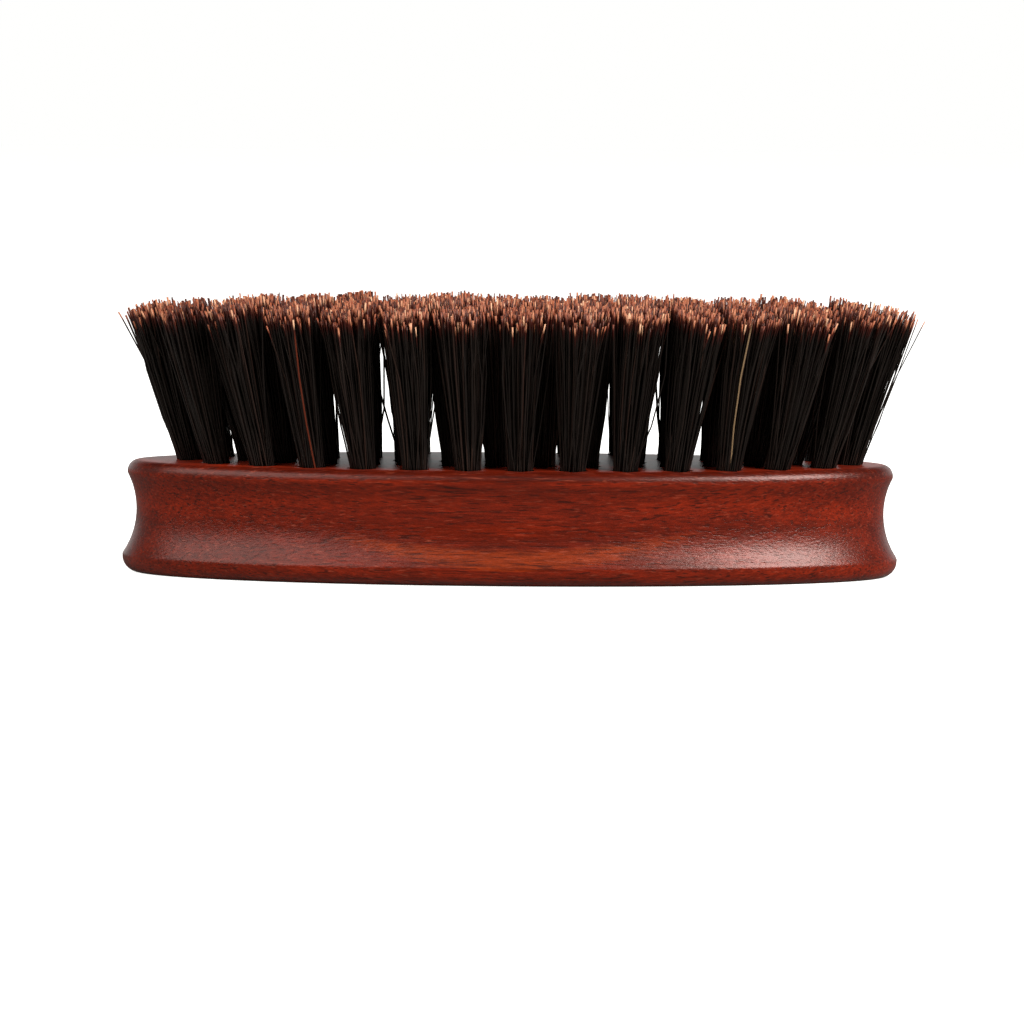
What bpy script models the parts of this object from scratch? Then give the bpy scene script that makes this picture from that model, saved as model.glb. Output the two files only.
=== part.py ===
"""Beard brush: a coved hardwood block with sixty-two tufts of boar bristle set in drilled holes.

Metres, +Z up. The origin is the middle of the flat back of the block. +X runs along the block and the
bristles stand up along +Z.
"""

import math

import bmesh
import bpy
from mathutils import Matrix, Vector

# Block: an oval of one piece of wood with a cove run round its side
BLOCK_LENGTH = 0.115
BLOCK_WIDTH = 0.038
BLOCK_HEIGHT = 0.0167
LOWER_ROUND = 0.0024  # radius rubbed on the edge of the back
COVE_RADIUS = 0.0116
COVE_DEPTH = 0.00206  # how far the waist is cut in from the lower rim
COVE_START = 0.0028  # height of the arris where the cove leaves the lower rim
WAIST_HEIGHT = 0.0094
COVE_END = 0.01475
UPPER_ROUND = 0.00165  # radius rubbed on the edge of the drilled face
OUTLINE_POINTS = 88
ROUND_STEPS = 3
COVE_STEPS = 7

# Bristle field: two rings and a row, a little off the middle of the block
FIELD_OFFSET = 0.0014
OUTER_RING = (0.0488, 0.0145)  # half length, half width
OUTER_COUNT = 28
MIDDLE_RING = (0.0399, 0.0073)
MIDDLE_COUNT = 26
CENTRE_COUNT = 8
CENTRE_PITCH = 0.0065

# Holes, each drilled along its own tuft
HOLE_RADIUS = 0.002
HOLE_DEPTH = 0.009
DRILL_CLEAR = 0.002  # how far a drill starts above the face
DRILL_SIDES = 10

# Tufts: narrow where they are folded into the hole, flared towards the tips
ROOT_RADIUS = 0.0017
ROOT_CLEAR = 0.0004  # space left at the bottom of a hole
HEAD_RADIUS = 0.0034
PAIR_HEAD_RADIUS = 0.0035
TUFT_HEIGHT = 0.0246  # of the tips above the face, in the middle of the field
EDGE_LOWER = 0.0008  # how much lower the tips of the outer ring stand
SPLAY_ALONG = 0.122  # how far a tip moves outwards, as a share of its distance from the middle
SPLAY_ACROSS = 0.197
PAIR_DRAW = 0.00025  # how far each head of a centre pair leans to its partner
FLARE_POWER = 1.25
FLARE_STEPS = 3
TIP_CROWN = 0.0006  # height of the low dome on a tuft's tip
TUFT_SIDES = 10

MERGE_LIMIT = 0.00001
SMOOTH_ANGLE = math.radians(35)


def new_collection(name):
    """An empty collection in the scene."""
    collection = bpy.data.collections.new(name)
    bpy.context.scene.collection.children.link(collection)
    return collection


def plain_material(name, colour, roughness, metallic=0.0):
    """A Principled material."""
    material = bpy.data.materials.new(name)
    material.use_nodes = True
    shader = material.node_tree.nodes["Principled BSDF"]
    shader.inputs["Base Color"].default_value = (*colour, 1.0)
    shader.inputs["Roughness"].default_value = roughness
    shader.inputs["Metallic"].default_value = metallic
    return material


def add_object(name, mesh, collection, material=None):
    """An object for a mesh, in a collection."""
    obj = bpy.data.objects.new(name, mesh)
    collection.objects.link(obj)
    if material:
        mesh.materials.append(material)
    return obj


def smooth_round_sides(mesh):
    """Smooth shading, with the real corners kept sharp."""
    mesh.shade_smooth()
    mesh.set_sharp_from_angle(angle=SMOOTH_ANGLE)


# Block


def cove_inset(height):
    """How far the cove is cut in from the lower rim at a height."""
    rise = height - WAIST_HEIGHT
    return COVE_DEPTH - (COVE_RADIUS - math.sqrt(COVE_RADIUS**2 - rise**2))


def block_profile():
    """(inset, height) from the edge of the flat back up to the edge of the drilled face."""
    profile = []
    for step in range(ROUND_STEPS + 1):
        angle = math.pi / 2 * step / ROUND_STEPS
        profile.append((LOWER_ROUND * (1 - math.sin(angle)), LOWER_ROUND * (1 - math.cos(angle))))
    for step in range(COVE_STEPS + 1):
        height = COVE_START + (COVE_END - COVE_START) * step / COVE_STEPS
        profile.append((cove_inset(height), height))
    rim = cove_inset(COVE_END)
    for step in range(ROUND_STEPS + 1):
        angle = math.pi / 2 * step / ROUND_STEPS
        inset = rim + UPPER_ROUND * (1 - math.cos(angle))
        profile.append((inset, BLOCK_HEIGHT - UPPER_ROUND * (1 - math.sin(angle))))
    return profile


def oval_ring(bm, inset, height):
    """One closed ring of vertices, inset all round from the widest oval."""
    ring = []
    for i in range(OUTLINE_POINTS):
        angle = 2 * math.pi * i / OUTLINE_POINTS
        x = (BLOCK_LENGTH / 2 - inset) * math.cos(angle)
        y = (BLOCK_WIDTH / 2 - inset) * math.sin(angle)
        ring.append(bm.verts.new((x, y, height)))
    return ring


def block_mesh():
    """The oval block, lofted ring by ring up its profile: an even cove makes every oval a different one."""
    bm = bmesh.new()
    rings = [oval_ring(bm, inset, height) for inset, height in block_profile()]
    for lower, upper in zip(rings, rings[1:]):
        for i in range(OUTLINE_POINTS):
            j = (i + 1) % OUTLINE_POINTS
            bm.faces.new((lower[i], lower[j], upper[j], upper[i]))
    bm.faces.new(reversed(rings[0]))
    bm.faces.new(rings[-1])
    mesh = bpy.data.meshes.new("block")
    bm.to_mesh(mesh)
    bm.free()
    return mesh


# Bristle field


def ring_places(half_length, half_width, count):
    """Points evenly spaced along an oval, starting with the one on +X."""
    fine = 3600
    path = []
    for i in range(fine + 1):
        angle = 2 * math.pi * i / fine
        path.append(Vector((half_length * math.cos(angle), half_width * math.sin(angle))))
    travelled = [0.0]
    for a, b in zip(path, path[1:]):
        travelled.append(travelled[-1] + (b - a).length)
    places = []
    i = 0
    for k in range(count):
        while travelled[i] < travelled[-1] * k / count - 1e-12:
            i += 1
        places.append(path[i])
    return places


def centre_places():
    """The row down the middle of the field."""
    first = -(CENTRE_COUNT - 1) / 2 * CENTRE_PITCH
    return [Vector((first + CENTRE_PITCH * i, 0.0)) for i in range(CENTRE_COUNT)]


def tuft_lean(place, draw=0.0):
    """Where a tuft leaves the face, the direction it stands in, and its length above the face."""
    reach = (place.x / OUTER_RING[0]) ** 2 + (place.y / OUTER_RING[1]) ** 2
    height = TUFT_HEIGHT - EDGE_LOWER * reach
    foot = Vector((place.x + FIELD_OFFSET, place.y, BLOCK_HEIGHT))
    axis = Vector((place.x * SPLAY_ALONG + draw, place.y * SPLAY_ACROSS, height))
    return foot, axis.normalized(), axis.length


def standing_along(foot, direction):
    """The placement that stands a shape made along +Z at its foot, in its direction."""
    turn = Vector((0.0, 0.0, 1.0)).rotation_difference(direction)
    return Matrix.Translation(foot) @ turn.to_matrix().to_4x4()


def drill_mesh(leans):
    """Every drill, as one cutter."""
    bm = bmesh.new()
    depth = HOLE_DEPTH + DRILL_CLEAR
    middle = Matrix.Translation((0.0, 0.0, DRILL_CLEAR - depth / 2))
    for foot, direction, _length in leans:
        bmesh.ops.create_cone(
            bm,
            cap_ends=True,
            segments=DRILL_SIDES,
            radius1=HOLE_RADIUS,
            radius2=HOLE_RADIUS,
            depth=depth,
            matrix=standing_along(foot, direction) @ middle,
        )
    mesh = bpy.data.meshes.new("drills")
    bm.to_mesh(mesh)
    bm.free()
    return mesh


def tuft_profile(length, head_radius):
    """(radius, height) down a tuft's outer side, from the middle of its tip to the middle of its root."""
    profile = [(0.0, length)]
    for step in range(FLARE_STEPS, -1, -1):
        share = step / FLARE_STEPS
        radius = ROOT_RADIUS + (head_radius - ROOT_RADIUS) * share**FLARE_POWER
        profile.append((radius, (length - TIP_CROWN) * share))
    bottom = ROOT_CLEAR - HOLE_DEPTH
    profile.append((ROOT_RADIUS, bottom))
    profile.append((0.0, bottom))
    return profile


def add_tuft(name, lean, head_radius, collection, material):
    """A tuft, turned from its profile and stood in its hole."""
    foot, direction, length = lean
    profile = tuft_profile(length, head_radius)
    mesh = bpy.data.meshes.new(name)
    points = [(radius, 0.0, height) for radius, height in profile]
    edges = [(i, i + 1) for i in range(len(points) - 1)]
    mesh.from_pydata(points, edges, [])
    tuft = add_object(name, mesh, collection, material)
    turn = tuft.modifiers.new("turn", "SCREW")
    turn.axis = "Z"
    turn.angle = 2 * math.pi
    turn.steps = TUFT_SIDES
    turn.render_steps = TUFT_SIDES
    turn.use_merge_vertices = True
    turn.merge_threshold = MERGE_LIMIT
    turn.use_smooth_shade = True
    tuft.matrix_world = standing_along(foot, direction)
    return tuft


def main():
    for obj in list(bpy.data.objects):
        bpy.data.objects.remove(obj)
    brush = new_collection("beard_brush")
    cutters = new_collection("cutters")
    wood = plain_material("lacquered_mahogany", (0.13, 0.018, 0.009), 0.3)
    bristle = plain_material("boar_bristle", (0.012, 0.009, 0.008), 0.45)

    outer = [tuft_lean(place) for place in ring_places(*OUTER_RING, OUTER_COUNT)]
    middle = [tuft_lean(place) for place in ring_places(*MIDDLE_RING, MIDDLE_COUNT)]
    centre = []
    for i, place in enumerate(centre_places()):
        to_partner = 1 if i % 2 == 0 else -1
        centre.append(tuft_lean(place, to_partner * PAIR_DRAW))

    block = add_object("block", block_mesh(), brush, wood)
    drills = add_object("drills", drill_mesh(outer + middle + centre), cutters)
    drills.hide_render = True
    drills.display_type = "WIRE"
    holes = block.modifiers.new("holes", "BOOLEAN")
    holes.operation = "DIFFERENCE"
    holes.solver = "EXACT"
    holes.object = drills
    smooth_round_sides(block.data)

    for i, lean in enumerate(outer):
        add_tuft(f"outer_tuft_{i + 1:02d}", lean, HEAD_RADIUS, brush, bristle)
    for i, lean in enumerate(middle):
        add_tuft(f"middle_tuft_{i + 1:02d}", lean, HEAD_RADIUS, brush, bristle)
    for i in range(0, CENTRE_COUNT, 2):
        pair = add_tuft(f"centre_tufts_{i // 2 + 1}", centre[i], PAIR_HEAD_RADIUS, brush, bristle)
        partner = add_tuft(f"partner_{i // 2 + 1}", centre[i + 1], PAIR_HEAD_RADIUS, cutters, bristle)
        partner.hide_render = True
        partner.display_type = "WIRE"
        join = pair.modifiers.new("touching_heads", "BOOLEAN")
        join.operation = "UNION"
        join.solver = "EXACT"
        join.object = partner


main()
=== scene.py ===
# %% [markdown]
# # A beard brush
#
# A palm-held brush for beards is a block of hardwood with a cove run round its side, so that fingers can
# hold it, and some sixty tufts of boar bristle. Each tuft is a bundle of stiff hairs folded double and
# driven into its own blind hole by a small flat anchor.
#
# The measured solids of the brush come from the frame: one block and one plain flared solid for each tuft.
# This lesson keeps their places and sizes and makes what the eye sees: the lacquered wood, the bristles one
# by one, and the anchors hidden in the holes.

import math

import bmesh
import bpy
import numpy as np
from mathutils import Matrix, Vector, noise


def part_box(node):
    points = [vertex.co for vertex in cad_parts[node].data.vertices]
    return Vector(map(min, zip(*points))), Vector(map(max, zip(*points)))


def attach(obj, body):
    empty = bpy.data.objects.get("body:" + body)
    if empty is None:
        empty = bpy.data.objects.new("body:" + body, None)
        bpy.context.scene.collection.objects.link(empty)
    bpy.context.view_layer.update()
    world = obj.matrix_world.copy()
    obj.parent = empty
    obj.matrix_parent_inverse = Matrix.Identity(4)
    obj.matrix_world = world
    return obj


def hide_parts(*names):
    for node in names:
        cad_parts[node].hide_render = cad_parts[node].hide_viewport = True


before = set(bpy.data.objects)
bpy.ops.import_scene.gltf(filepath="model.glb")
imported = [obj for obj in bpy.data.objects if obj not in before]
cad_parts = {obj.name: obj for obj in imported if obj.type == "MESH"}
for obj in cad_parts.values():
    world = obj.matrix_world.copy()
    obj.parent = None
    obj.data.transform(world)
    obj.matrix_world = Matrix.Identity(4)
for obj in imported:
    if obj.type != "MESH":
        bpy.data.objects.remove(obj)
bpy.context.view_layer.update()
block_low, block_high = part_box("block")
BODY = "root"
MM = 0.001
FACE_HEIGHT = block_high.z

# %% [markdown]
# ## The studio
#
# The brush stands on a pale floor, lit by two softboxes, one on each side of the camera and well above it,
# with a bright paper background behind and dim pale walls at the sides. The lacquer shows both softboxes as
# soft patches low in the cove. The room on the camera's own side and overhead is dark, and that is what
# keeps the red of the wood deep: a white room all round would lay a grey veil over it.
#
# The floor and the background are white to the camera. To every other ray the floor is dark and the
# background only lights from behind. A studio gets the same with black cards just outside the view.

# %% Helpers for nodes and colours
def linear(hex_colour):
    """An sRGB hex colour as linear RGBA."""
    shares = [int(hex_colour[i : i + 2], 16) / 255 for i in (1, 3, 5)]
    return [c / 12.92 if c <= 0.04045 else ((c + 0.055) / 1.055) ** 2.4 for c in shares] + [1.0]


def add_node(tree, kind, links=None, **settings):
    """Adds a node. Settings set its properties or its inputs, and links feeds inputs from other sockets."""
    node = tree.nodes.new(kind)
    for name, value in settings.items():
        if hasattr(node, name):
            setattr(node, name, value)
        else:
            node.inputs[name.replace("_", " ")].default_value = value
    for name, socket in (links or {}).items():
        tree.links.new(socket, node.inputs[name])
    return node


def set_ramp(node, colours):
    """Gives a colour ramp these colours at these positions."""
    ramp = node.color_ramp
    positions = sorted(colours)
    ramp.elements[0].color = colours[positions[0]]
    ramp.elements[1].color = colours[positions[-1]]
    ramp.elements[1].position = positions[-1]
    for position in positions[1:-1]:
        ramp.elements.new(position).color = colours[position]


def new_material(name):
    """A material with its tree and its Principled shader."""
    material = bpy.data.materials.new(name)
    material.use_nodes = True
    return material, material.node_tree, material.node_tree.nodes["Principled BSDF"]


# %% Floor
FLOOR_SIZE = 8.0
FLOOR_GLOW = 1.0  # light the paper sends back from lamps behind and below it
FLOOR_PAPER = linear("#F7F6F3")
FLOOR_CARD = linear("#84827E")

bpy.ops.mesh.primitive_grid_add(x_subdivisions=4, y_subdivisions=4, size=FLOOR_SIZE)
floor = bpy.context.object
floor.name = "paper_floor"
floor_paper, tree, shader = new_material("pale_paper_sweep")
tree.nodes.remove(shader)
rays = add_node(tree, "ShaderNodeLightPath")
paper = add_node(tree, "ShaderNodeBsdfDiffuse", Color=FLOOR_PAPER)
glow = add_node(tree, "ShaderNodeEmission", Color=FLOOR_PAPER, Strength=FLOOR_GLOW)
bright = add_node(tree, "ShaderNodeAddShader")
tree.links.new(paper.outputs[0], bright.inputs[0])
tree.links.new(glow.outputs[0], bright.inputs[1])
card = add_node(tree, "ShaderNodeBsdfDiffuse", Color=FLOOR_CARD)
pick = add_node(tree, "ShaderNodeMixShader", links={"Fac": rays.outputs["Is Camera Ray"]})
tree.links.new(card.outputs[0], pick.inputs[1])
tree.links.new(bright.outputs[0], pick.inputs[2])
tree.links.new(pick.outputs[0], tree.nodes["Material Output"].inputs["Surface"])
floor.data.materials.append(floor_paper)

# %% Background
WHITE = 1.0  # what the camera sees
BACK_LIGHT = 0.88  # what lights the brush from behind
SIDE_LIGHT = 0.30  # the pale walls at the sides
ROOM_LIGHT = 0.02

world = bpy.data.worlds.new("studio")
bpy.context.scene.world = world
world.use_nodes = True
tree = world.node_tree
backdrop = tree.nodes["Background"]
rays = add_node(tree, "ShaderNodeLightPath")
direction = add_node(tree, "ShaderNodeTexCoord")
parts = add_node(tree, "ShaderNodeSeparateXYZ", links={"Vector": direction.outputs["Generated"]})
behind = add_node(
    tree,
    "ShaderNodeMapRange",
    links={"Value": parts.outputs["Y"]},
    interpolation_type="SMOOTHSTEP",
    From_Min=0.0,
    From_Max=0.8,
    To_Max=BACK_LIGHT,
)
sideways = add_node(tree, "ShaderNodeMath", links={0: parts.outputs["X"]}, operation="ABSOLUTE")
walls = add_node(
    tree,
    "ShaderNodeMapRange",
    links={"Value": sideways.outputs[0]},
    interpolation_type="SMOOTHSTEP",
    From_Min=0.6,
    From_Max=0.95,
    To_Max=SIDE_LIGHT,
)
brighter = add_node(
    tree,
    "ShaderNodeMath",
    links={0: behind.outputs["Result"], 1: walls.outputs["Result"]},
    operation="MAXIMUM",
)
below_ceiling = add_node(
    tree,
    "ShaderNodeMapRange",
    links={"Value": parts.outputs["Z"]},
    interpolation_type="SMOOTHSTEP",
    From_Min=0.25,
    From_Max=0.6,
    To_Min=1.0,
    To_Max=0.0,
)
room = add_node(
    tree,
    "ShaderNodeMath",
    links={0: brighter.outputs[0], 1: below_ceiling.outputs["Result"]},
    operation="MULTIPLY_ADD",
)
room.inputs[2].default_value = ROOM_LIGHT
level = add_node(tree, "ShaderNodeMix", links={"Factor": rays.outputs["Is Camera Ray"]}, data_type="FLOAT")
tree.links.new(room.outputs[0], level.inputs["A"])
level.inputs["B"].default_value = WHITE
tree.links.new(level.outputs["Result"], backdrop.inputs["Strength"])
backdrop.inputs["Color"].default_value = (1.0, 1.0, 0.99, 1.0)

# %% Softboxes and camera
SOFTBOXES = {
    # name: turn from the camera's side in degrees, height in degrees, width, height, watts
    "softbox_left": (-48, 38, 0.95, 0.80, 8.6),
    "softbox_right": (48, 38, 0.50, 0.48, 18.0),
}
SOFTBOX_DISTANCE = 1.1
CAMERA_DISTANCE = 0.65
CAMERA_ABOVE_FACE = 0.056
CAMERA_LENS = 154.8  # a long lens, as for any small product
CAMERA_ROLL = math.radians(0.45)
AIM = Vector((0.0003, 0.0, 0.0092))


def facing(place, target):
    """The turn that points a lamp or camera at a target."""
    return (target - place).to_track_quat("-Z", "Y")


for name, (turn, height, wide, tall, watts) in SOFTBOXES.items():
    lamp = bpy.data.lights.new(name, "AREA")
    lamp.shape = "RECTANGLE"
    lamp.size, lamp.size_y = wide, tall
    lamp.energy = watts
    box = bpy.data.objects.new(name, lamp)
    turn, height = math.radians(turn), math.radians(height)
    side = Vector((math.sin(turn) * math.cos(height), -math.cos(turn) * math.cos(height), math.sin(height)))
    box.location = side * SOFTBOX_DISTANCE
    box.rotation_mode = "QUATERNION"
    box.rotation_quaternion = facing(box.location, Vector((0, 0, FACE_HEIGHT)))
    bpy.context.scene.collection.objects.link(box)

camera = bpy.data.objects.new("camera", bpy.data.cameras.new("camera"))
camera.data.lens = CAMERA_LENS
camera.data.clip_start = 0.01
camera.location = (AIM.x, -CAMERA_DISTANCE, FACE_HEIGHT + CAMERA_ABOVE_FACE)
camera.rotation_mode = "QUATERNION"
roll = Matrix.Rotation(CAMERA_ROLL, 4, "Z").to_quaternion()
camera.rotation_quaternion = facing(camera.location, AIM) @ roll
bpy.context.scene.collection.objects.link(camera)
bpy.context.scene.camera = camera
bpy.context.scene.view_settings.view_transform = "Standard"

# %% [markdown]
# ## Stained and lacquered wood
#
# The block is a fine-grained hardwood, beech or a light mahogany, coloured with a red mahogany stain and
# sprayed with clear lacquer. Its grain runs along the brush. Up close the colour comes in layers: wide
# flames where the stain sank in more or less, thin fibre streaks a few millimetres long, short flecks, pale
# dashes where sanding dust stayed in the grain, and dark dashes where the pores were cut open. Each layer
# is one noise pattern, stretched along the grain. A paler figure curves low along the front. Over all this
# the colour carries painted shade and light by height: it is darkened on the upper rim and low in the cove,
# and lightened on the underside and the drilled face.
#
# The lacquer follows the grain a little, so the streaks and dashes go into the bump too, and the softboxes
# then show as patches with a broken, grainy edge. The coat is a separate layer in the shader, as it is on
# the wood. The drilled face is duller than the side.

# %% Wood material
FLAME_SIZE = (40 * MM, 4 * MM)  # along the grain, across it
FIBRE_SIZE = (5.0 * MM, 0.36 * MM)
FLECK_SIZE = (0.7 * MM, 0.18 * MM)
PORE_SIZE = (4.0 * MM, 0.26 * MM)  # drawn coarser than the real 0.1 mm
DUST_SIZE = (2.4 * MM, 0.3 * MM)
GRAIN_TILT = math.radians(4.0)
FIGURE_PLACE = Vector((1, -18, 3.9)) * MM  # middle of the light figure low on the front
FIGURE_REACH = Vector((34, 8, 1.9)) * MM
FIGURE_CURVE = 5.0  # it rises by this times the square of the distance along, in metres
FIGURE_EDGE = (0.12, 0.5)
# Painted shade and light by height: the colour is darkened on the upper rim and low in the cove, and
# lightened on the underside and the face.
PAINTED_SHADE_BY_HEIGHT = {  # share of the block's height: how much painted shade or light darkens or lightens the colour there
    0.0: 1.15,
    0.08: 1.05,
    0.14: 0.88,
    0.18: 0.6,
    0.3: 0.61,
    0.48: 0.66,
    0.58: 0.98,
    0.65: 1.03,
    0.8: 0.87,
    0.9: 0.9,
    0.93: 0.42,
    0.985: 0.42,
    0.997: 0.5,
    1.0: 1.15,
}
FACE_BAND = 0.3 * MM  # the height in which the glossy side turns into the duller face
SIDE_ROUGH, FACE_ROUGH = 0.34, 0.45
SIDE_COAT_ROUGH, FACE_COAT_ROUGH = 0.28, 0.37
NOISE_SPREAD = (0.35, 0.65)  # nearly all of a noise pattern's values lie between these
STREAK_RANGE = (0.7, 1.3)
FLECK_RANGE = (0.85, 1.15)
DUST_SPREAD, DUST_SHARE = (0.6, 0.72), 0.4
PORE_SPREAD, PORE_SHARE = (0.6, 0.66), 0.75
PORE_SINK = 0.4  # how far the pores sink, against the height of the grain
RELIEF = 0.05 * MM

STAIN_DARK = linear("#601505")
STAIN_RED = linear("#7A1D06")
STAIN_ORANGE = linear("#8A2D07")
PORE_BROWN = linear("#2E0A05")
PORE_DUST = linear("#9A4630")  # lacquer over sanding dust left in the grain
WOOD_SHEEN = linear("#E08868")


def grain_pattern(tree, place, size, detail, tilt=0.0, distortion=0.0):
    """Noise stretched along the grain, whose spots are about this long and this high."""
    along, across = size
    stretch = add_node(
        tree,
        "ShaderNodeMapping",
        links={"Vector": place},
        Rotation=(0.0, tilt, 0.0),
        Scale=(1 / along, 1 / across, 1 / across),
    )
    pattern = add_node(
        tree,
        "ShaderNodeTexNoise",
        links={"Vector": stretch.outputs["Vector"]},
        Scale=1.0,
        Detail=detail,
        Distortion=distortion,
    )
    return pattern.outputs["Fac"]


def between(tree, value, low, high, first=0.0, last=1.0):
    """A value spread over a range, clamped at both ends: first at low, last at high."""
    spread = add_node(
        tree,
        "ShaderNodeMapRange",
        links={"Value": value},
        From_Min=low,
        From_Max=high,
        To_Min=first,
        To_Max=last,
    )
    return spread.outputs["Result"]


def mix_colours(tree, share, first, second, blend="MIX"):
    """Two colours mixed; each is a socket or a plain colour."""
    mix = add_node(tree, "ShaderNodeMix", data_type="RGBA", blend_type=blend)
    for socket, value in zip((mix.inputs[0], mix.inputs[6], mix.inputs[7]), (share, first, second)):
        if isinstance(value, bpy.types.NodeSocket):
            tree.links.new(value, socket)
        else:
            socket.default_value = value
    return mix.outputs[2]


def light_figure(tree, place, streak):
    """A long patch of paler wood, curving up towards its ends, its edge drawn out into streaks."""
    spot = add_node(tree, "ShaderNodeSeparateXYZ", links={"Vector": place}).outputs
    squared = add_node(tree, "ShaderNodeMath", links={0: spot["X"], 1: spot["X"]}, operation="MULTIPLY")
    lowered = add_node(
        tree, "ShaderNodeMath", links={0: squared.outputs[0], 2: spot["Z"]}, operation="MULTIPLY_ADD"
    )
    lowered.inputs[1].default_value = -FIGURE_CURVE
    curved = add_node(
        tree, "ShaderNodeCombineXYZ", links={"X": spot["X"], "Y": spot["Y"], "Z": lowered.outputs[0]}
    )
    away = add_node(
        tree,
        "ShaderNodeMapping",
        links={"Vector": curved.outputs["Vector"]},
        vector_type="TEXTURE",
        Location=FIGURE_PLACE,
        Scale=FIGURE_REACH,
    )
    nearness = add_node(
        tree,
        "ShaderNodeTexGradient",
        links={"Vector": away.outputs["Vector"]},
        gradient_type="SPHERICAL",
    )
    drawn_out = add_node(
        tree,
        "ShaderNodeMath",
        links={0: nearness.outputs["Fac"], 1: streak},
        operation="MULTIPLY",
    )
    return between(tree, drawn_out.outputs[0], *FIGURE_EDGE)


def shade_by_height(tree, place):
    """Painted shade and light: how much the colour is darkened or lightened, by height."""
    height = add_node(tree, "ShaderNodeSeparateXYZ", links={"Vector": place}).outputs["Z"]
    shade_ramp = add_node(tree, "ShaderNodeValToRGB", links={"Fac": between(tree, height, 0.0, FACE_HEIGHT)})
    set_ramp(shade_ramp, {share: (level, level, level, 1.0) for share, level in PAINTED_SHADE_BY_HEIGHT.items()})
    return shade_ramp.outputs["Color"]


def stained_wood():
    """Mahogany-stained hardwood under clear lacquer."""
    material, tree, shader = new_material("lacquered_mahogany_stain")
    place = add_node(tree, "ShaderNodeTexCoord").outputs["Object"]
    flame = grain_pattern(tree, place, FLAME_SIZE, detail=3.0, distortion=0.6)
    fibre = grain_pattern(tree, place, FIBRE_SIZE, detail=4.0, tilt=GRAIN_TILT)
    fleck = grain_pattern(tree, place, FLECK_SIZE, detail=2.0, tilt=-GRAIN_TILT)
    pore = grain_pattern(tree, place, PORE_SIZE, detail=1.0, tilt=-GRAIN_TILT)
    dust = grain_pattern(tree, place, DUST_SIZE, detail=2.0, tilt=GRAIN_TILT)

    ground = mix_colours(tree, between(tree, flame, *NOISE_SPREAD), STAIN_DARK, STAIN_RED)
    streak = between(tree, fibre, *NOISE_SPREAD, *STREAK_RANGE)
    figured = mix_colours(tree, light_figure(tree, place, streak), ground, STAIN_ORANGE)
    streaked = mix_colours(tree, 1.0, figured, streak, "MULTIPLY")
    flecking = between(tree, fleck, *NOISE_SPREAD, *FLECK_RANGE)
    flecked = mix_colours(tree, 1.0, streaked, flecking, "MULTIPLY")
    # Painted shade and light by height, multiplied into the wood's colour.
    stained_and_shaded = mix_colours(tree, 1.0, flecked, shade_by_height(tree, place), "MULTIPLY")
    open_pore = between(tree, pore, *PORE_SPREAD, 0.0, PORE_SHARE)
    dusted = between(tree, dust, *DUST_SPREAD, 0.0, DUST_SHARE)
    dusty = mix_colours(tree, dusted, stained_and_shaded, PORE_DUST)
    tree.links.new(mix_colours(tree, open_pore, dusty, PORE_BROWN), shader.inputs["Base Color"])

    grainy = add_node(tree, "ShaderNodeMath", links={0: fibre, 1: fleck}, operation="ADD")
    relief = add_node(
        tree, "ShaderNodeMath", links={0: open_pore, 2: grainy.outputs[0]}, operation="MULTIPLY_ADD"
    )
    relief.inputs[1].default_value = -PORE_SINK
    bump = add_node(
        tree,
        "ShaderNodeBump",
        links={"Height": relief.outputs[0]},
        Strength=0.55,
        Distance=RELIEF,
    )
    tree.links.new(bump.outputs["Normal"], shader.inputs["Normal"])
    tree.links.new(bump.outputs["Normal"], shader.inputs["Coat Normal"])
    height = add_node(tree, "ShaderNodeSeparateXYZ", links={"Vector": place}).outputs["Z"]
    on_face = between(tree, height, FACE_HEIGHT - FACE_BAND, FACE_HEIGHT)
    roughness = between(tree, on_face, 0.0, 1.0, SIDE_ROUGH, FACE_ROUGH)
    coat_roughness = between(tree, on_face, 0.0, 1.0, SIDE_COAT_ROUGH, FACE_COAT_ROUGH)
    tree.links.new(roughness, shader.inputs["Roughness"])
    tree.links.new(coat_roughness, shader.inputs["Coat Roughness"])
    shader.inputs["Specular IOR Level"].default_value = 0.3
    shader.inputs["Specular Tint"].default_value = WOOD_SHEEN
    shader.inputs["IOR"].default_value = 1.5
    shader.inputs["Coat Weight"].default_value = 0.4
    shader.inputs["Coat IOR"].default_value = 1.5
    return material


wood = stained_wood()
print("wood material", wood.name)

# %% [markdown]
# ## The block
#
# The block is an oval of one piece of wood. A router with a round cutter ran a cove round its side, which
# left a crisp arris above the lower rim, and both rims were rubbed round by hand. A loft gives that: ovals
# stacked up the profile, each one inset by the same amount all round. The hand work shows as a slight
# waviness of a few hundredths of a millimetre, enough to bend the highlights on the rims.

# %% Block profile
LOWER_ROUND = 2.4 * MM
COVE_RADIUS = 11.6 * MM
COVE_DEPTH = 2.06 * MM
COVE_START = 2.8 * MM
COVE_END = 14.75 * MM
WAIST_HEIGHT = 9.4 * MM
UPPER_ROUND = 1.65 * MM
ARRIS = 0.15 * MM
OUTLINE_POINTS = 256
ROUND_STEPS = 10
COVE_STEPS = 26
WAVINESS = 0.05 * MM
WAVE_LENGTH = 18 * MM


def skin(bm, rings):
    """Faces from each ring of points to the next, and a cap on each end."""
    for lower, upper in zip(rings, rings[1:]):
        for i in range(len(lower)):
            j = (i + 1) % len(lower)
            bm.faces.new((lower[i], lower[j], upper[j], upper[i]))
    bm.faces.new(reversed(rings[0]))
    bm.faces.new(rings[-1])


def finished(bm, name):
    """The mesh of a finished bmesh."""
    mesh = bpy.data.meshes.new(name)
    bm.to_mesh(mesh)
    bm.free()
    return mesh


def cove_inset(height):
    """How far the cove is cut in at a height."""
    rise = height - WAIST_HEIGHT
    return COVE_DEPTH - (COVE_RADIUS - math.sqrt(COVE_RADIUS**2 - rise**2))


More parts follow.
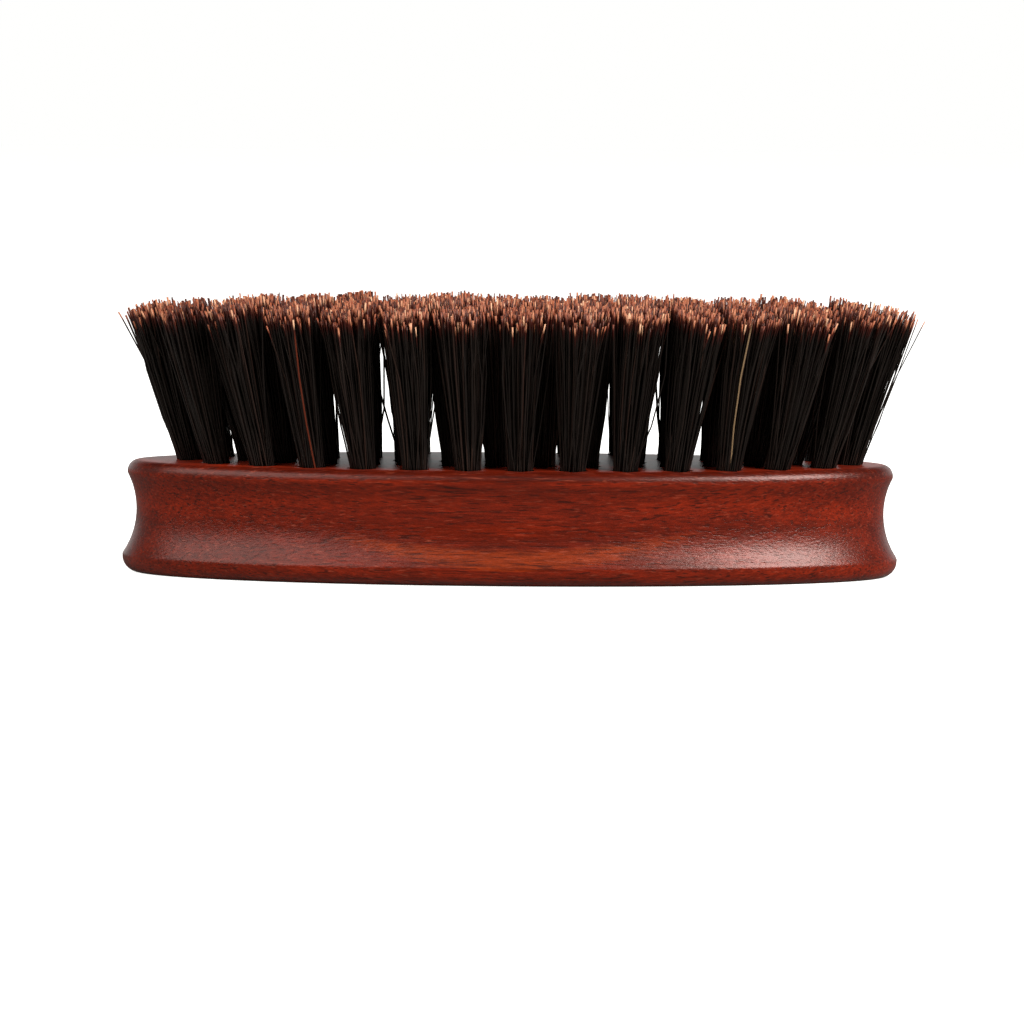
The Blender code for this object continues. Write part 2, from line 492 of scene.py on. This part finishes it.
def block_profile():
    """(inset, height) from the edge of the back up to the edge of the drilled face."""
    quarter = [math.pi / 2 * step / ROUND_STEPS for step in range(ROUND_STEPS + 1)]
    profile = [(LOWER_ROUND * (1 - math.sin(a)), LOWER_ROUND * (1 - math.cos(a))) for a in quarter]
    profile.append((0.0, COVE_START - ARRIS))
    for step in range(COVE_STEPS + 1):
        start = COVE_START + ARRIS
        height = start + (COVE_END - start) * step / COVE_STEPS
        profile.append((cove_inset(height), height))
    rim = cove_inset(COVE_END)
    for a in quarter:
        inset = rim + UPPER_ROUND * (1 - math.cos(a))
        profile.append((inset, FACE_HEIGHT - UPPER_ROUND * (1 - math.sin(a))))
    return profile


def shape_block():
    """The oval block, lofted up its profile."""
    half_length = (block_high.x - block_low.x) / 2
    half_width = (block_high.y - block_low.y) / 2
    bm = bmesh.new()
    rings = []
    for inset, height in block_profile():
        ring = []
        for i in range(OUTLINE_POINTS):
            angle = 2 * math.pi * i / OUTLINE_POINTS
            out = Vector((math.cos(angle), math.sin(angle), 0.0))
            spot = Vector((out.x * half_length, out.y * half_width, height))
            worn = WAVINESS * (noise.noise(spot / WAVE_LENGTH) - 1.0)
            reach = inset - worn * min(1.0, height / LOWER_ROUND)
            x = (half_length - reach) * out.x
            y = (half_width - reach) * out.y
            ring.append(bm.verts.new((x, y, height)))
        rings.append(ring)
    skin(bm, rings)
    return finished(bm, "brush_block")


block = bpy.data.objects.new("brush_block", shape_block())
bpy.context.scene.collection.objects.link(block)
print("block", len(block.data.vertices), "vertices before drilling")

# %% [markdown]
# ## Where the tufts stand
#
# Each tuft solid of the frame is round about its own leaning axis, so the middle of its root and the middle
# of the ring where it leaves the wood give that axis, and its furthest point gives the length. The four
# solids down the middle hold two tufts each, so they are split at their middle first.

# %% Tuft axes
ROOT_BELOW = 3 * MM  # points further down than this belong to the root
FOOT_BAND = 1 * MM  # points nearer than this to the face belong to the foot


def tuft_axis(points):
    """The middle of the root, the middle of the foot and the tip of one tuft."""
    heights = points[:, 2] - FACE_HEIGHT
    root = Vector(points[heights < -ROOT_BELOW].mean(axis=0))
    ring = Vector(points[abs(heights) < FOOT_BAND].mean(axis=0))
    lean = (ring - root).normalized()
    foot = root + lean * ((FACE_HEIGHT - root.z) / lean.z)
    reach = max((Vector(p) - foot).dot(lean) for p in points)
    return root, foot, lean, reach


def node_points(name):
    """The different corner points of a node's solid."""
    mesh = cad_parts[name].data
    points = np.empty(len(mesh.vertices) * 3)
    mesh.vertices.foreach_get("co", points)
    return np.unique(points.reshape(-1, 3).round(7), axis=0)


tufts = []  # name, node it stands for, (root, foot, lean, reach)
for node in sorted(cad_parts):
    if "_tuft" not in node:
        continue
    points = node_points(node)
    if node.startswith("centre_tufts"):
        middle = (points[:, 0].min() + points[:, 0].max()) / 2
        tufts.append((node + "_left", node, tuft_axis(points[points[:, 0] < middle])))
        tufts.append((node + "_right", node, tuft_axis(points[points[:, 0] > middle])))
    else:
        tufts.append((node, node, tuft_axis(points)))
FIELD_END = max(abs(foot.x) for _, _, (_, foot, _, _) in tufts)
print(len(tufts), "tufts, the longest", round(max(axis[3] for _, _, axis in tufts) / MM, 1), "mm")

# %% [markdown]
# ## Drilling the block
#
# The holes are drilled along the tufts' axes, which is what makes the tufts splay. Each drill leaves a
# small countersunk mouth. All the drills are one cutter, so the block is cut once.

# %% Drill the holes
HOLE_RADIUS = 2.0 * MM
HOLE_DEPTH = 9.0 * MM
MOUTH_RADIUS = 2.12 * MM
DRILL_SIDES = 32


def standing(foot, lean):
    """The placement that stands a shape made along +Z at a foot."""
    turn = Vector((0, 0, 1)).rotation_difference(lean)
    return Matrix.Translation(foot) @ turn.to_matrix().to_4x4()


def drill_rings():
    """(radius, height) of the drill's rings, with the countersink widening through the face."""
    widening = MOUTH_RADIUS - HOLE_RADIUS
    above = widening * 3  # the cutter has to run past the face
    return [(HOLE_RADIUS, -HOLE_DEPTH), (HOLE_RADIUS, -widening), (MOUTH_RADIUS + above, above)]


bm = bmesh.new()
angles = [2 * math.pi * i / DRILL_SIDES for i in range(DRILL_SIDES)]
for _, _, (_, foot, lean, _) in tufts:
    place = standing(foot, lean)
    rings = []
    for radius, height in drill_rings():
        spots = [place @ Vector((radius * math.cos(a), radius * math.sin(a), height)) for a in angles]
        rings.append([bm.verts.new(spot) for spot in spots])
    skin(bm, rings)
drills = bpy.data.objects.new("drills", finished(bm, "drills"))
bpy.context.scene.collection.objects.link(drills)

cut = block.modifiers.new("holes", "BOOLEAN")
cut.operation = "DIFFERENCE"
cut.solver = "EXACT"
cut.object = drills
drilled = bpy.data.meshes.new_from_object(block.evaluated_get(bpy.context.evaluated_depsgraph_get()))
block.modifiers.clear()
block.data = drilled
bpy.data.objects.remove(drills)
SHARP_ANGLE = math.radians(30)
block.data.shade_smooth()
block.data.set_sharp_from_angle(angle=SHARP_ANGLE)
block.data.materials.clear()
block.data.materials.append(wood)
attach(block, BODY)
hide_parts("block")
print("drilled block", len(block.data.polygons), "faces")

# %% [markdown]
# ## Boar bristle
#
# Boar bristle is a coarse hair, about 0.23 mm thick at the root, nearly black with a brown cast, and satin:
# light runs down it in a thin line. Towards the tip the pigment goes and the hair splits and bleaches: a
# dark red stretch of a millimetre or two, and then a last millimetre of copper to tan. One or two hairs in
# every thousand are red or blond all along.
#
# Two numbers stored on each bristle drive the colour: the distance from the nearer tip in metres, and a
# random tone for the whole hair. No picture is needed, and the colour stays with the hair.

# %% Bristle material
TIP_START = 0.35 * MM  # full tip colour up to here
TIP_END = 1.05 * MM  # no tip colour beyond here
RED_END = 2.7 * MM  # no red beyond here
TIP_SHIFT = 1.0 * MM  # how much longer the coloured tip of a light hair is

BODY_COLOURS = {  # share of the hairs up to which each colour reaches
    0.0: linear("#060404"),
    0.6: linear("#0C0706"),
    0.9: linear("#160D0A"),
    1.0: linear("#2A1913"),
}
ODD_FROM = 0.998  # hairs beyond this share are red,
BLOND_FROM = 0.9992  # and beyond this one blond
TONE_STEP = 0.0001
TIP_SHUFFLE = 7.0  # makes a second random tone of the first, for the tips
RED_HAIR = linear("#5E2412")
BLOND_HAIR = linear("#8A7052")
TIP_COLOURS = {  # share of the hairs up to which each colour reaches
    0.0: linear("#3A160E"),
    0.3: linear("#622A1A"),
    0.6: linear("#984E32"),
    0.9: linear("#BC7856"),
    1.0: linear("#E0AC86"),
}
HAIR_SHEEN = linear("#F8E2D4")
BELOW_TIP = linear("#3C0F08")  # where the pigment only begins to thin


def boar_bristle():
    """Dark boar bristle with bleached tips."""
    material, tree, shader = new_material("boar_bristle")
    away = add_node(tree, "ShaderNodeAttribute", attribute_name="from_tip").outputs["Fac"]
    tone = add_node(tree, "ShaderNodeAttribute", attribute_name="tone").outputs["Fac"]
    other = add_node(tree, "ShaderNodeMath", links={0: tone}, operation="MULTIPLY")
    other.inputs[1].default_value = TIP_SHUFFLE
    tip_tone = add_node(tree, "ShaderNodeMath", links={0: other.outputs[0]}, operation="FRACT").outputs[0]
    hairs = add_node(tree, "ShaderNodeValToRGB", links={"Fac": tone})
    set_ramp(hairs, BODY_COLOURS)
    tips = add_node(tree, "ShaderNodeValToRGB", links={"Fac": tip_tone})
    set_ramp(tips, TIP_COLOURS)
    shift = between(tree, tip_tone, 0.0, 1.0, TIP_SHIFT / 2, -TIP_SHIFT / 2)
    shifted = add_node(tree, "ShaderNodeMath", links={0: away, 1: shift}, operation="ADD").outputs[0]
    bleached = between(tree, shifted, TIP_END, TIP_START)
    reddened = between(tree, shifted, RED_END, TIP_END)
    odd = mix_colours(tree, between(tree, tone, BLOND_FROM - TONE_STEP, BLOND_FROM), RED_HAIR, BLOND_HAIR)
    is_odd = between(tree, tone, ODD_FROM - TONE_STEP, ODD_FROM)
    body = mix_colours(tree, is_odd, hairs.outputs["Color"], odd)
    shaft = mix_colours(tree, reddened, body, BELOW_TIP)
    colour = mix_colours(tree, bleached, shaft, tips.outputs["Color"])
    tree.links.new(colour, shader.inputs["Base Color"])
    shader.inputs["Roughness"].default_value = 0.42
    shader.inputs["Specular IOR Level"].default_value = 0.36
    shader.inputs["Specular Tint"].default_value = HAIR_SHEEN
    shader.inputs["IOR"].default_value = 1.55
    return material


bristle_finish = boar_bristle()
print("bristle material", bristle_finish.name)

# %% [markdown]
# ## One tuft, hair by hair
#
# A tuft is some seventy-five bristles folded double over the anchor, so about 150 ends stand up. The hairs
# fill the round hole evenly, run parallel through it, and fan out above the face. They are not quite
# straight and not quite the same length.
#
# Hair particles would be quick, but an exported model loses them. Instead each bristle is a thin four-sided
# tube along its own path, up one arm, round the fold and up the other, and a whole tuft's tubes are worked
# out at once as arrays.

# %% Bristle paths
BRISTLES = 76  # folded bristles in a tuft
STEM_RADIUS = 1.8 * MM  # of the bundle where it leaves the wood
HEAD_RADIUS = 3.5 * MM  # of the bundle at the tips
FOLD_GAP = 0.32 * MM  # half the space that the anchor takes between the arms
FOLD_RISE = 0.6 * MM  # from the fold up to where the arms run straight
FOLD_DEPTH = 8.4 * MM
FAN_POWER = 1.2
ARM_SHARES = np.array([0.0, 0.3, 0.62, 0.95, 1.0])  # along the visible arm
LONGEST = 0.1 * MM  # the longest arm of a tuft stands this far above its axis
UNEVEN = 3.2 * MM  # from the longest arm down to the shortest
TUFT_UNEVEN = 0.2 * MM  # how unlike in length the tufts are
LENGTH_SPREAD = (1.5, 2.6)  # of a beta distribution: most arms are a third of the way down
END_WEAR = 0.4 * MM  # how much lower the tufts at the very ends are worn
END_POWER = 8  # keeps the wear to the ends
HEAD_UNEVEN = 0.05  # how unlike in spread
HEAD_DRIFT = 0.25 * MM  # how far a whole head stands off its axis
WANDER = 0.42 * MM  # how far a tip strays from its place in the fan
BOW = 0.34 * MM
STRAY_SHARE = 0.16  # of the hairs are loose
STRAY_REACH = 1.8 * MM
STRAY_BOW = 2.0  # how much more a loose hair is bowed
GOLDEN_ANGLE = math.pi * (3 - math.sqrt(5))
ODD_HAIRS = {-28 * MM: 0.9986, 32 * MM: 1.0}  # a red and a blond hair: tone by where its tuft stands
ODD_ROW = -8 * MM  # they are in the front row
ODD_REACH = 4 * MM


def arm_paths(spread, axis_length, head, rng):
    """The arms of one side of a tuft, from foot to tip, in the tuft's own frame: hair, point, xyz."""
    count = len(spread)
    head_radius, drift = head
    tips = spread * head_radius + drift + rng.normal(0.0, WANDER, (count, 2))
    stray = rng.random(count) < STRAY_SHARE
    tips[stray] += rng.normal(0.0, STRAY_REACH / 2, (stray.sum(), 2))
    feet = spread * STEM_RADIUS
    share = ARM_SHARES[None, :, None]
    flat = feet[:, None] + (tips - feet)[:, None] * share**FAN_POWER
    bow = rng.normal(0.0, BOW, (count, 1, 2)) * np.where(stray, STRAY_BOW, 1.0)[:, None, None]
    flat = flat + bow * np.sin(np.pi * share)
    length = axis_length + LONGEST - UNEVEN * rng.beta(*LENGTH_SPREAD, count)
    lean = np.linalg.norm(tips - feet, axis=1)
    rise = np.sqrt(length**2 - lean**2)[:, None] * ARM_SHARES[None, :]
    return np.concatenate([flat, rise[:, :, None]], axis=2)


def tuft_paths(axis_length, rng):
    """Whole folded bristles: down one arm from its tip, round the fold, and up the other."""
    order = np.arange(BRISTLES)
    radius = np.sqrt((order + 0.5) / BRISTLES)
    angle = (order * GOLDEN_ANGLE) % math.pi
    half = np.stack([radius * np.cos(angle), radius * np.sin(angle)], axis=1)
    half[:, 1] = np.maximum(half[:, 1], FOLD_GAP / STEM_RADIUS)
    head = HEAD_RADIUS * rng.normal(1.0, HEAD_UNEVEN), rng.normal(0.0, HEAD_DRIFT, 2)
    axis_length = axis_length + rng.normal(0.0, TUFT_UNEVEN)
    near = arm_paths(half, axis_length, head, rng)
    far = arm_paths(half * [1, -1], axis_length, head, rng)
    across = half[:, 0] * STEM_RADIUS
    inner = half[:, 1] * STEM_RADIUS
    depth = np.full(BRISTLES, FOLD_RISE - FOLD_DEPTH)
    low_near = np.stack([across, inner, depth], axis=1)[:, None]
    fold = np.stack([across, inner * 0, depth - FOLD_RISE], axis=1)[:, None]
    low_far = np.stack([across, -inner, depth], axis=1)[:, None]
    return np.concatenate([near[:, ::-1], low_near, fold, low_far, far], axis=1)


# %% Tubes along the paths
THICK = 0.12 * MM  # radius of an average bristle's shaft
THICK_UNEVEN = 0.16  # how unlike in thickness the bristles are
THICK_RANGE = (0.6, 1.4)
TIP_THICK = 0.125 * MM  # the split ends stand apart, so a tip looks wider than the shaft
TIP_SPLIT = 1.2 * MM
TUBE_SIDES = 4
CORNER_ANGLES = [2 * math.pi * (k + 0.5) / TUBE_SIDES for k in range(TUBE_SIDES)]
MAP_ROWS = 2  # rows of bristles in the flat map that an export paints on
MAP_NAME = "OFBake"


def tube_points(paths, thickness):
    """The corners of a tube round every path: hair, point, corner, xyz."""
    forward = np.gradient(paths, axis=1)
    forward /= np.linalg.norm(forward, axis=2, keepdims=True)
    side = np.cross(forward, [0.0, 1.0, 0.001])
    side /= np.linalg.norm(side, axis=2, keepdims=True)
    up = np.cross(side, forward)
    corners = [paths + thickness * (math.cos(a) * side + math.sin(a) * up) for a in CORNER_ANGLES]
    return np.stack(corners, axis=2)


def distance_from_tip(paths):
    """Distance along each bristle to its nearer tip, point by point."""
    steps = np.linalg.norm(np.diff(paths, axis=1), axis=2)
    travelled = np.concatenate([np.zeros((len(paths), 1)), np.cumsum(steps, axis=1)], axis=1)
    return np.minimum(travelled, travelled[:, -1:] - travelled)


def tube_faces(hairs, points):
    """Quads of all the tubes, with a square cap on each end."""
    k = np.arange(TUBE_SIDES)
    ring = np.stack([k, (k + 1) % TUBE_SIDES], axis=1)
    quad = np.concatenate([ring, ring[:, ::-1] + TUBE_SIDES], axis=1)
    tube = (quad[None] + TUBE_SIDES * np.arange(points - 1)[:, None, None]).reshape(-1, 4)
    caps = np.array([k[::-1], k + TUBE_SIDES * (points - 1)])
    one = np.concatenate([tube, caps])
    return (one[None] + (points * TUBE_SIDES) * np.arange(hairs)[:, None, None]).reshape(-1, 4), len(one)


def lay_flat_map(mesh, hairs, per_hair, points):
    """A flat map in which each bristle is one upright strip, kept apart from its neighbours."""
    strips = math.ceil(hairs / MAP_ROWS)
    rows = np.repeat(np.arange(points - 1), TUBE_SIDES)
    low, high = rows / (points - 1), (rows + 1) / (points - 1)
    u = np.tile([0.1, 0.9, 0.9, 0.1], (per_hair, 1))
    v = np.zeros((per_hair, 4))
    v[:-2] = np.stack([low, low, high, high], axis=1)
    v[-2] = [0.0, 0.0, 0.01, 0.01]
    v[-1] = [0.99, 0.99, 1.0, 1.0]
    hair = np.arange(hairs)[:, None, None]
    u_all = (hair % strips + u[None]) / strips
    v_all = (hair // strips + 0.02 + 0.96 * v[None]) / MAP_ROWS
    flat = np.stack([u_all, v_all], axis=3).astype(np.float32)
    mesh.uv_layers.new(name=MAP_NAME).data.foreach_set("uv", flat.ravel())


def tuft_place(axis, rng):
    """Where a tuft stands and how it is turned: a setting machine leaves the anchors at all angles."""
    _, foot, lean, _ = axis
    return standing(foot, lean) @ Matrix.Rotation(rng.uniform(0, 2 * math.pi), 4, "Z")


def store(mesh, label, values):
    """Stores one number on each point of a mesh."""
    attribute = mesh.attributes.new(label, "FLOAT", "POINT")
    attribute.data.foreach_set("value", values.astype(np.float32))


def odd_hair(foot, corners, tone):
    """Gives the foremost hair of a tuft that has an odd one its tone."""
    for along, odd in ODD_HAIRS.items():
        if foot.y < ODD_ROW and abs(foot.x - along) < ODD_REACH:
            tone[corners[..., 1].min(axis=(1, 2)).argmin()] = odd


def make_tuft(name, axis, seed):
    """One tuft of bristles standing in its hole, and its place."""
    _, foot, _, reach = axis
    rng = np.random.default_rng(seed)
    place = tuft_place(axis, rng)
    worn = END_WEAR * (abs(foot.x) / FIELD_END) ** END_POWER
    paths = tuft_paths(reach - worn, rng)
    hairs, points = paths.shape[:2]
    away = distance_from_tip(paths)
    thickness = (TIP_THICK + (THICK - TIP_THICK) * np.clip(away / TIP_SPLIT, 0, 1))[:, :, None]
    thickness = thickness * rng.normal(1.0, THICK_UNEVEN, (hairs, 1, 1)).clip(*THICK_RANGE)
    corners = tube_points(paths, thickness)
    turn = np.array(place)
    corners = corners @ turn[:3, :3].T + turn[:3, 3]
    faces, per_hair = tube_faces(hairs, points)
    mesh = bpy.data.meshes.new(name)
    mesh.from_pydata(corners.reshape(-1, 3).tolist(), [], faces.tolist())
    tone = rng.random(hairs)
    odd_hair(foot, corners, tone)
    store(mesh, "from_tip", np.repeat(away, TUBE_SIDES))
    store(mesh, "tone", np.repeat(tone, points * TUBE_SIDES))
    lay_flat_map(mesh, hairs, per_hair, points)
    mesh.shade_smooth()
    mesh.materials.append(bristle_finish)
    tuft = bpy.data.objects.new(name, mesh)
    bpy.context.scene.collection.objects.link(tuft)
    return tuft, place


# %% Make the tufts
places = []
for number, (name, node, axis) in enumerate(tufts):
    tuft, place = make_tuft("bristles_" + name, axis, seed=number)
    places.append(place)
    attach(tuft, BODY)
    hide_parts(node)
print(len(tufts), "tufts of", BRISTLES, "bristles,", len(tuft.data.polygons), "faces each")

# %% [markdown]
# ## The anchors
#
# What holds a tuft is a short piece of flat wire laid in the fold. The machine cuts it a little longer than
# the hole is wide and drives it down with the bristles over it, and its sheared ends bite into the wood. No
# glue is used. All sixty-two are out of sight at the bottom of their holes, but a brush without them would
# fall apart, so they are made too, from one mesh.
#
# The wire is zinc-plated steel. Rolling leaves its edges round and fine lines along it, and the driver's
# blow pinches it in the middle. One profile of the rolled section, set at several stations along the
# length, gives all of that.

# %% Anchor shape and material
ANCHOR_LENGTH = 4.0 * MM
ANCHOR_HEIGHT = 1.8 * MM
ANCHOR_THICK = 0.34 * MM
ANCHOR_DEPTH = 8.15 * MM  # of its lower edge below the face
EDGE_STEPS = 6  # steps round each rolled edge
HALF_STATIONS = [(0.12, 0.86), (0.4, 1.0), (0.94, 1.0), (1.0, 0.9)]  # share of the half length, pinch
STATIONS = [(-share, pinch) for share, pinch in reversed(HALF_STATIONS)] + HALF_STATIONS
ZINC = linear("#A9ABA8")
ROLLED_LINES = (3 * MM, 0.06 * MM)
LINE_SPREAD = (0.3, 0.7)
LINE_SHADES = (0.85, 1.1)
LINE_ROUGHNESS = (0.3, 0.45)


def rolled_section():
    """Corners of the wire's section, flat on its sides and round on its edges."""
    round_edge = ANCHOR_THICK / 2
    flat = ANCHOR_HEIGHT / 2 - round_edge
    section = []
    for middle, first in ((flat, 0.0), (-flat, math.pi)):
        for step in range(EDGE_STEPS + 1):
            angle = first + math.pi * step / EDGE_STEPS
            section.append((round_edge * math.cos(angle), middle + round_edge * math.sin(angle)))
    return section


def anchor_mesh():
    """An anchor lying along X with its lower edge at its depth."""
    bm = bmesh.new()
    section = rolled_section()
    rings = []
    for share, pinch in STATIONS:
        x = share * ANCHOR_LENGTH / 2
        middle = ANCHOR_HEIGHT / 2 - ANCHOR_DEPTH
        rings.append([bm.verts.new((x, across * pinch, middle + up * pinch)) for across, up in section])
    skin(bm, rings)
    bmesh.ops.recalc_face_normals(bm, faces=bm.faces)
    return finished(bm, "anchor")


def plated_steel():
    """Zinc-plated wire, with fine rolling lines along it."""
    material, tree, shader = new_material("zinc_plated_anchor_wire")
    position = add_node(tree, "ShaderNodeTexCoord").outputs["Object"]
    lines = grain_pattern(tree, position, ROLLED_LINES, detail=2.0)
    dulled = mix_colours(tree, 1.0, ZINC, between(tree, lines, *LINE_SPREAD, *LINE_SHADES), "MULTIPLY")
    tree.links.new(dulled, shader.inputs["Base Color"])
    tree.links.new(between(tree, lines, *LINE_SPREAD, *LINE_ROUGHNESS), shader.inputs["Roughness"])
    shader.inputs["Metallic"].default_value = 1.0
    return material


anchor = anchor_mesh()
anchor.shade_smooth()
anchor.set_sharp_from_angle(angle=SHARP_ANGLE)
anchor.materials.append(plated_steel())
print("anchor", len(anchor.polygons), "faces")

# %% Drive the anchors in
for (name, node, axis), place in zip(tufts, places):
    piece = bpy.data.objects.new("anchor_" + name, anchor)
    piece.matrix_world = place
    bpy.context.scene.collection.objects.link(piece)
    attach(piece, BODY)
print(len(places), "anchors")
